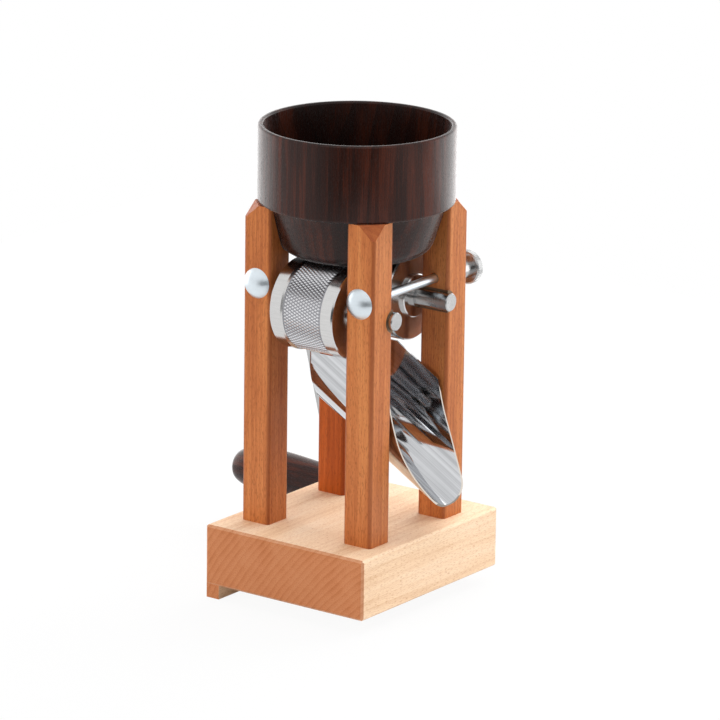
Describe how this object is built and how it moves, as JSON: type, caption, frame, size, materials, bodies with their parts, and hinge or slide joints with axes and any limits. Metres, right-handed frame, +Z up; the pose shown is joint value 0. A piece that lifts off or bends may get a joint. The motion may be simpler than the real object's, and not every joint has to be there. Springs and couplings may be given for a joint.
{
  "type": "hand-cranked grain flaker",
  "caption": "Hand-cranked flaker: a turned hopper feeds grain between knurled rollers on a wooden stand, and a sloping trough carries the flakes out.",
  "frame": {"origin": "centre of the base's underside, where it rests on the table", "axes": "+Z up, +X toward the chute's outlet, -X toward the crank, -Y toward the front bolt heads"},
  "size_m": [0.2302, 0.1696, 0.3139],
  "materials": {
    "beech_base": "planed pale beech, oiled",
    "beech_post": "reddish oiled beech",
    "walnut": "turned dark walnut, oiled",
    "steel": "turned stainless steel, knurled band",
    "sheet": "polished stainless sheet",
    "zinc": "bright zinc plate",
    "bronze": "plain bearing bronze"
  },
  "bodies": {
    "stand": {"base": "beech_base", "post_front_left": "beech_post", "post_front_right": "beech_post", "post_rear_left": "beech_post", "post_rear_right": "beech_post", "post_screws": "zinc", "journal_bushes": "bronze", "tie_bolt_left": "zinc", "tie_bolt_right": "zinc", "chute": "sheet", "chute_pads": "sheet", "chute_dowels": "zinc"},
    "hopper": {"hopper": "walnut", "feed_throat": "steel"},
    "crank_set": {"drive_roller": "steel", "drive_shaft": "steel", "drive_spacers": "steel", "crank_hub": "steel", "crank_arm": "steel", "crank_set_screw": "zinc", "crank_bolt": "zinc", "handle_pin": "steel", "handle_washer": "zinc", "handle_cap": "zinc"},
    "idler_set": {"idler_roller": "steel", "idler_shaft": "steel", "idler_spacers": "steel"},
    "handle": {"handle": "walnut"},
    "washer_left": {"nut_washer_left": "zinc"},
    "washer_right": {"nut_washer_right": "zinc"},
    "nut_left": {"knurled_nut_left": "steel"},
    "nut_right": {"knurled_nut_right": "steel"}
  },
  "joints": [
    {"name": "crank_spin", "type": "hinge", "parent": "stand", "child": "crank_set", "pos_m": [0, 0.03, 0.1881], "axis": [1, 0, 0], "continuous": true},
    {"name": "idler_spin", "type": "hinge", "parent": "stand", "child": "idler_set", "pos_m": [0, -0.03, 0.1881], "axis": [1, 0, 0], "continuous": true},
    {"name": "handle_spin", "type": "hinge", "parent": "crank_set", "child": "handle", "pos_m": [-0.11, 0.07912, 0.02744], "axis": [1, 0, 0], "continuous": true},
    {"name": "hopper_lift", "type": "slide", "parent": "stand", "child": "hopper", "axis": [0, 0, 1], "range_m": [0, 0.09]},
    {"name": "washer_left_slide", "type": "slide", "parent": "stand", "child": "washer_left", "axis": [0, 1, 0], "range_m": [0, 0.006]},
    {"name": "washer_right_slide", "type": "slide", "parent": "stand", "child": "washer_right", "axis": [0, 1, 0], "range_m": [0, 0.006]},
    {"name": "nut_left_turn", "type": "hinge", "parent": "washer_left", "child": "nut_left", "pos_m": [-0.041, 0.06, 0.202], "axis": [0, 1, 0], "range_deg": [0, 2170]},
    {"name": "nut_right_turn", "type": "hinge", "parent": "washer_right", "child": "nut_right", "pos_m": [0.041, 0.06, 0.202], "axis": [0, 1, 0], "range_deg": [0, 2170]}
  ],
  "couplings": [
    {"joint": "idler_spin", "follows": "crank_spin", "ratio": -1},
    {"joint": "nut_left_turn", "follows": "washer_left_slide", "rad_per_m": 6283.2},
    {"joint": "nut_right_turn", "follows": "washer_right_slide", "rad_per_m": 6283.2}
  ]
}
